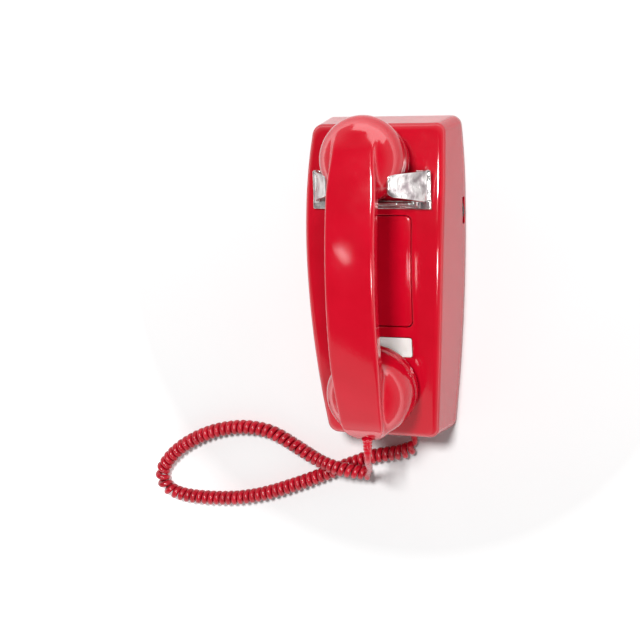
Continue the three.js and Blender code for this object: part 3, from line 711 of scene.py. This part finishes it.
def prong_field(p):
    """One dished prong, mirrored to both sides: a bent sheet from the side flange in to its tip."""
    x, y, z = np.abs(p[0]), p[1], p[2]
    root, tip = np.array([38.2, HOOK_FLANGE_Z + 1.4]), np.array([HOOK_TIP_X, HOOK_HIGH[2] - 0.6])
    chord = tip - root
    length = float(np.hypot(*chord))
    along, normal = chord / length, np.array([chord[1], -chord[0]]) / length
    s = (x - root[0]) * along[0] + (z - root[1]) * along[1]
    n = (x - root[0]) * normal[0] + (z - root[1]) * normal[1]
    sag = 2.4
    belly = n - sag * (1 - (2 * s / length - 1) ** 2)
    middle_y, half_y = 69.5, 7.0
    dish = 1.7 * np.clip(1 - ((y - middle_y) / half_y) ** 2, 0, 1) * np.clip(s / length * 4, 0, 1)
    dish = dish * np.clip((1 - s / length) * 4, 0, 1)
    sheet = smooth_max(belly + dish, -belly - 2.1 - 0.5 * dish, 0.8)
    heel = (HOOK_LOW[1] + 5.0 - y + np.maximum(z - HOOK_FLANGE_Z - 6, 0) * 0.24) * 0.97
    rounded = smooth_max(heel, s - length, 5)
    cut = smooth_max(rounded, y - HOOK_HIGH[1], 0.7)
    return smooth_max(smooth_max(sheet, cut, 0.9), -s - 1, 0.5)


def hook_field(p):
    """The plated saddle: a plate across the housing with side flanges, a ledge, two arms and two prongs."""
    q = (np.abs(p[0]), p[1], p[2])
    y0, y1, x1 = HOOK_LOW[1], HOOK_HIGH[1], HOOK_HIGH[0]
    z0 = HOOK_FLANGE_Z
    body = block(q, (-x1, y0, z0), (x1, y0 + 5.4, z0 + 1.9), 0.7)
    body = smooth_min(body, block(q, (30, y0, z0), (x1, y1, z0 + 1.9), 0.7), 0.8)
    body = smooth_min(body, block(q, (-28, y0 + 3.0, z0), (28, y0 + 4.8, z0 + 8.4), 0.7), 1.2)
    body = smooth_min(body, block(q, (30.6, y0 + 1, HOOK_LOW[2]), (33.4, y0 + 9, z0 + 1), 0.5), 0.6)
    return smooth_min(body, prong_field(p), 1.4)


def make_hook():
    return skin("plated_hook", hook_field, HOOK_LOW - 1.5, HOOK_HIGH + 1.5, 0.5)


# ---------------------------------------------------------------- materials
def linear(red, green, blue):
    """A colour given as 0 to 255 display values, as linear light."""
    parts = [c / 255 for c in (red, green, blue)]
    return (*[c / 12.92 if c <= 0.04045 else ((c + 0.055) / 1.055) ** 2.4 for c in parts], 1)


class Finish:
    """A material with a principled shader and helpers to add nodes to it."""

    def __init__(self, name, **sockets):
        self.material = bpy.data.materials.new(name)
        self.material.use_nodes = True
        self.tree = self.material.node_tree
        self.shader = next(n for n in self.tree.nodes if n.type == "BSDF_PRINCIPLED")
        for socket, value in sockets.items():
            self.shader.inputs[socket.replace("_", " ")].default_value = value

    def node(self, kind, **settings):
        made = self.tree.nodes.new(kind)
        for key, value in settings.items():
            if isinstance(value, bpy.types.NodeSocket):
                self.tree.links.new(value, made.inputs[key.replace("_", " ")])
            elif key in made.inputs:
                made.inputs[key].default_value = value
            else:
                setattr(made, key, value)
        return made

    def where(self, scale=(1, 1, 1)):
        """Object coordinates in metres, stretched."""
        coordinates = self.tree.nodes.new("ShaderNodeTexCoord")
        mapping = self.tree.nodes.new("ShaderNodeMapping")
        mapping.inputs["Scale"].default_value = scale
        self.tree.links.new(coordinates.outputs["Object"], mapping.inputs["Vector"])
        return mapping.outputs["Vector"]

    def noise(self, scale, detail=3.0, roughness=0.5, stretch=(1, 1, 1)):
        made = self.node("ShaderNodeTexNoise", Vector=self.where(stretch), Scale=scale, Detail=detail,
                         Roughness=roughness)
        return made.outputs["Fac"]

    def ramp(self, value, *stops):
        """Maps a value through (position, colour or grey) stops."""
        made = self.tree.nodes.new("ShaderNodeValToRGB")
        elements = made.color_ramp.elements
        while len(elements) < len(stops):
            elements.new(0.5)
        for element, (position, colour) in zip(elements, stops):
            element.position = position
            element.color = colour if isinstance(colour, tuple) else (colour, colour, colour, 1)
        self.tree.links.new(value, made.inputs["Fac"])
        return made.outputs["Color"]

    def mix(self, factor, a, b, blend="MIX"):
        made = self.tree.nodes.new("ShaderNodeMix")
        made.data_type = "RGBA"
        made.blend_type = blend
        for socket, value in ((made.inputs["Factor"], factor), (made.inputs["A"], a), (made.inputs["B"], b)):
            if isinstance(value, bpy.types.NodeSocket):
                self.tree.links.new(value, socket)
            else:
                socket.default_value = value
        return made.outputs["Result"]

    def join(self, value, socket):
        self.tree.links.new(value, self.shader.inputs[socket])

    def bump(self, value, strength, distance):
        made = self.node("ShaderNodeBump", Strength=strength, Distance=distance)
        self.tree.links.new(value, made.inputs["Height"])
        self.join(made.outputs["Normal"], "Normal")


def moulded(name, colour, deep, rough, bump=0.05):
    """Glossy moulded plastic: clouding in the colour, handling haze in the gloss, faint orange peel."""
    finish = Finish(name, IOR=1.52, Specular_IOR_Level=0.5)
    clouds = finish.noise(38, 4)
    finish.join(finish.ramp(clouds, (0.3, deep), (0.7, colour)), "Base Color")
    haze = finish.noise(55, 6, 0.65)
    specks = finish.noise(900, 2, 0.5)
    gloss = finish.ramp(haze, (0.38, rough), (0.62, rough + 0.05), (0.8, rough + 0.13))
    worn = finish.mix(finish.ramp(specks, (0.66, 0.0), (0.74, 0.35)), gloss, (rough + 0.25,) * 3 + (1,))
    finish.join(worn, "Roughness")
    finish.bump(finish.noise(420, 3, 0.55), bump, 0.0006)
    return finish.material


def vinyl():
    """The cord's soft vinyl: half gloss, with clouded colour, patchy gloss and a fine grain."""
    finish = Finish("cord_vinyl", IOR=1.5, Specular_IOR_Level=0.5)
    clouds = finish.noise(120, 4)
    finish.join(finish.ramp(clouds, (0.3, linear(140, 5, 22)), (0.7, linear(172, 9, 32))), "Base Color")
    finish.join(finish.ramp(finish.noise(260, 5, 0.6), (0.35, 0.2), (0.7, 0.36)), "Roughness")
    finish.bump(finish.noise(1500, 3, 0.6), 0.12, 0.0004)
    return finish.material


def plated():
    """Chrome plate with slight waves, haze and hairlines."""
    finish = Finish("chrome_plate", Metallic=0.8)
    finish.join(finish.ramp(finish.noise(110, 5), (0.36, (0.24, 0.2, 0.21, 1)), (0.6, (0.64, 0.61, 0.6, 1))),
                "Base Color")
    finish.join(finish.ramp(finish.noise(160, 6, 0.65), (0.35, 0.07), (0.6, 0.14), (0.8, 0.28)), "Roughness")
    waves = finish.noise(110, 2)
    hairs = finish.noise(900, 4, 0.6, (1, 0.08, 1))
    finish.bump(finish.mix(0.12, waves, hairs), 0.5, 0.002)
    return finish.material


def sheet_steel():
    """Zinc-plated sheet: spangle, rolling lines and a little dulling."""
    finish = Finish("zinc_steel", Metallic=0.95)
    spangle = finish.node("ShaderNodeTexVoronoi", Vector=finish.where(), Scale=190.0).outputs["Color"]
    grey = finish.ramp(spangle, (0.2, (0.38, 0.39, 0.41, 1)), (0.8, (0.56, 0.57, 0.58, 1)))
    dull = finish.ramp(finish.noise(70, 5), (0.45, 0.0), (0.75, 0.5))
    finish.join(finish.mix(dull, grey, (0.3, 0.29, 0.27, 1)), "Base Color")
    finish.join(finish.ramp(finish.noise(300, 4, 0.6, (1, 0.1, 1)), (0.3, 0.3), (0.7, 0.5)), "Roughness")
    finish.bump(finish.noise(800, 3, 0.5, (1, 0.1, 1)), 0.1, 0.0004)
    return finish.material


def warm_metal(name, bright, dark, rough):
    """Brass or copper: tarnish clouds and turning marks."""
    finish = Finish(name, Metallic=1.0)
    finish.join(finish.ramp(finish.noise(110, 5), (0.35, dark), (0.65, bright)), "Base Color")
    finish.join(finish.ramp(finish.noise(300, 5), (0.3, rough), (0.75, rough + 0.2)), "Roughness")
    finish.bump(finish.noise(1000, 3, 0.5, (1, 1, 0.1)), 0.1, 0.0004)
    return finish.material


def dull_plastic(name, colour, dark):
    """Matt moulded plastic with a fine grain and scuffs."""
    finish = Finish(name, IOR=1.48)
    finish.join(finish.ramp(finish.noise(80, 5), (0.3, dark), (0.7, colour)), "Base Color")
    finish.join(finish.ramp(finish.noise(200, 5), (0.3, 0.42), (0.75, 0.62)), "Roughness")
    finish.bump(finish.noise(1400, 3), 0.2, 0.0004)
    return finish.material


def card_paper():
    """Plain white card with fibres, brightened by a faint painted glow of its own."""
    # painted glow: the card gives off a little white light, standing in for light it does not get under its
    # cover
    finish = Finish("white_card", IOR=1.45, Roughness=0.8, Emission_Color=(1, 0.98, 0.95, 1),
                    Emission_Strength=0.22)
    fibres = finish.noise(700, 6, 0.7, (1, 0.3, 1))
    finish.join(finish.ramp(fibres, (0.3, linear(240, 239, 234)), (0.7, linear(252, 251, 248))), "Base Color")
    finish.bump(fibres, 0.15, 0.0004)
    return finish.material


def clear_cover():
    """Clear plastic with a little haze."""
    finish = Finish("clear_cover", IOR=1.49, Transmission_Weight=1.0)
    tint = finish.ramp(finish.noise(60, 3), (0.3, (0.95, 0.97, 0.97, 1)), (0.7, (0.99, 1, 1, 1)))
    finish.join(tint, "Base Color")
    finish.join(finish.ramp(finish.noise(180, 5), (0.4, 0.03), (0.8, 0.14)), "Roughness")
    return finish.material


RED = moulded("red_plastic_gloss", linear(172, 6, 30), linear(164, 3, 25), 0.09)
MATERIALS = {
    "red_plastic": RED,
    "red_cord": vinyl(),
    "chrome": plated(),
    "steel": sheet_steel(),
    "brass": warm_metal("brass_turned", (0.72, 0.53, 0.22, 1), (0.5, 0.34, 0.13, 1), 0.2),
    "copper": warm_metal("copper_winding", (0.6, 0.22, 0.1, 1), (0.4, 0.13, 0.06, 1), 0.3),
    "black_plastic": dull_plastic("black_moulding", linear(34, 34, 36), linear(22, 22, 24)),
    "grey_plastic": dull_plastic("grey_moulding", linear(142, 144, 146), linear(120, 122, 125)),
    "paper": card_paper(),
    "clear_plastic": clear_cover(),
}


def finish_nodes():
    """Gives every CAD node the material of its slot."""
    for part in frame["record"]["subparts"]:
        node = frame["nodes"][part["node"]]
        node.data.materials.clear()
        node.data.materials.append(MATERIALS[part["material_slot"]])


def dress(piece, body, slot, *nodes):
    """A finished piece: its material, its body and the CAD nodes that it stands for."""
    piece.data.materials.clear()
    piece.data.materials.append(MATERIALS[slot])
    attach(piece, body)
    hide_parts(*nodes)


finish_nodes()
cord.data.materials.append(MATERIALS["red_cord"])
dress(make_housing(), "base", "red_plastic", "housing")
dress(make_panel(), "base", "red_plastic", "blank_panel")
dress(make_window(), "base", "clear_plastic", "card_window")
dress(make_housing_gland(), "base", "red_plastic", "cord_gland")
dress(make_handset(), "handset", "red_plastic", "handset_shell")
dress(make_cap("receiver_cap_threaded", RECEIVER), "handset", "red_plastic", "receiver_cap")
dress(make_cap("transmitter_cap_threaded", TRANSMITTER), "handset", "red_plastic", "transmitter_cap")
dress(make_handset_relief(), "handset", "red_plastic", "handset_grommet")
dress(make_hook(), "hook", "chrome", "cradle_hook")


# ---------------------------------------------------------------- floor and light
def make_floor():
    """A pale matt table top with a painted glow that rises away from the telephone, so that the background is
    white.
    """
    surface = Surface()
    corners = surface.loop([(-3000, -3000, 0), (3000, -3000, 0), (3000, 3000, 0), (-3000, 3000, 0)])
    surface.faces.append(tuple(corners))
    floor = make_mesh("floor", surface.points, surface.faces, outward=False)
    finish = Finish("floor_white", Roughness=0.9, Specular_IOR_Level=0.1, Emission_Strength=1.0)
    tone = finish.ramp(finish.noise(6, 3), (0.3, (0.86, 0.86, 0.86, 1)), (0.7, (0.88, 0.88, 0.88, 1)))
    finish.join(tone, "Base Color")
    distance = finish.node("ShaderNodeVectorMath", operation="LENGTH")
    finish.tree.links.new(finish.where(), distance.inputs[0])
    # painted glow: the floor gives off light, none within 0.2 m of the middle and more and more further out
    finish.join(finish.ramp(distance.outputs["Value"], (0.2, 0.0), (0.36, 1.3), (0.9, 2.4)), "Emission Color")
    floor.data.materials.append(finish.material)


def make_light(name, place, aim, size, power, only=None, turn=0, gloss_only=False):
    """A soft rectangular lamp pointed at a spot, in metres; it may light only one collection of pieces."""
    data = bpy.data.lights.new(name, "AREA")
    data.shape = "RECTANGLE"
    data.size, data.size_y = size
    data.energy = power
    lamp = bpy.data.objects.new(name, data)
    lamp.location = place
    lamp.rotation_mode = "QUATERNION"
    facing = (Vector(aim) - Vector(place)).to_track_quat("-Z", "Y")
    lamp.rotation_quaternion = facing @ Matrix.Rotation(math.radians(turn), 3, "Z").to_quaternion()
    lamp.visible_diffuse = not gloss_only
    lamp.visible_camera = False
    if only:
        lamp.light_linking.receiver_collection = only
    bpy.context.scene.collection.objects.link(lamp)


def make_sky():
    """A studio that is pale round the horizon and darker overhead."""
    world = bpy.data.worlds.new("studio")
    world.use_nodes = True
    tree = world.node_tree
    coordinates = tree.nodes.new("ShaderNodeTexCoord")
    split = tree.nodes.new("ShaderNodeSeparateXYZ")
    ramp = tree.nodes.new("ShaderNodeValToRGB")
    stops = ((0.0, 0.9), (0.35, 0.7), (0.6, 0.32), (0.76, 0.11), (1.0, 0.08))
    while len(ramp.color_ramp.elements) < len(stops):
        ramp.color_ramp.elements.new(0.5)
    for element, (position, grey) in zip(ramp.color_ramp.elements, stops):
        element.position = position
        element.color = (grey, grey, grey, 1)
    background = next(n for n in tree.nodes if n.type == "BACKGROUND")
    tree.links.new(coordinates.outputs["Generated"], split.inputs["Vector"])
    tree.links.new(split.outputs["Z"], ramp.inputs["Fac"])
    tree.links.new(ramp.outputs["Color"], background.inputs["Color"])
    background.inputs["Strength"].default_value = 1.0
    bpy.context.scene.world = world


make_floor()
make_sky()
handset_pieces = bpy.data.collections.new("handset_pieces")
for part in ("handset_body", "receiver_cap_threaded", "transmitter_cap_threaded"):
    handset_pieces.objects.link(bpy.data.objects[part])
all_pieces = bpy.data.collections.new("all_pieces")
for part in bpy.context.scene.collection.objects:
    if part.type == "MESH" and part.name != "floor":
        all_pieces.objects.link(part)
hook_pieces = bpy.data.collections.new("hook_pieces")
hook_pieces.objects.link(bpy.data.objects["plated_hook"])
make_light("key", (0.06, 0.85, 2.05), (0, 0, 0), (0.4, 0.4), 48)
make_light("bottom_panel", (-1.0, -1.75, 1.2), (0, 0, 0.1), (3.0, 2.2), 15, all_pieces)
make_light("right_strip", (0.86, -0.2, 1.8), (0, 0, 0.05), (0.24, 0.42), 18, all_pieces)
make_light("top_panel", (0.5, 2.2, 0.6), (0, 0, 0.08), (3.0, 1.3), 52, handset_pieces, gloss_only=True)
make_light("spark", (-0.43, 0.05, 1.28), (0, 0, 0.1), (0.009, 0.11), 0.16, handset_pieces, -40, True)
make_light("chrome_card", (-0.68, -0.3, 1.75), (0, 0.06, 0.06), (0.8, 0.6), 0.75, hook_pieces,
           gloss_only=True)
bpy.context.scene.view_settings.view_transform = "Standard"
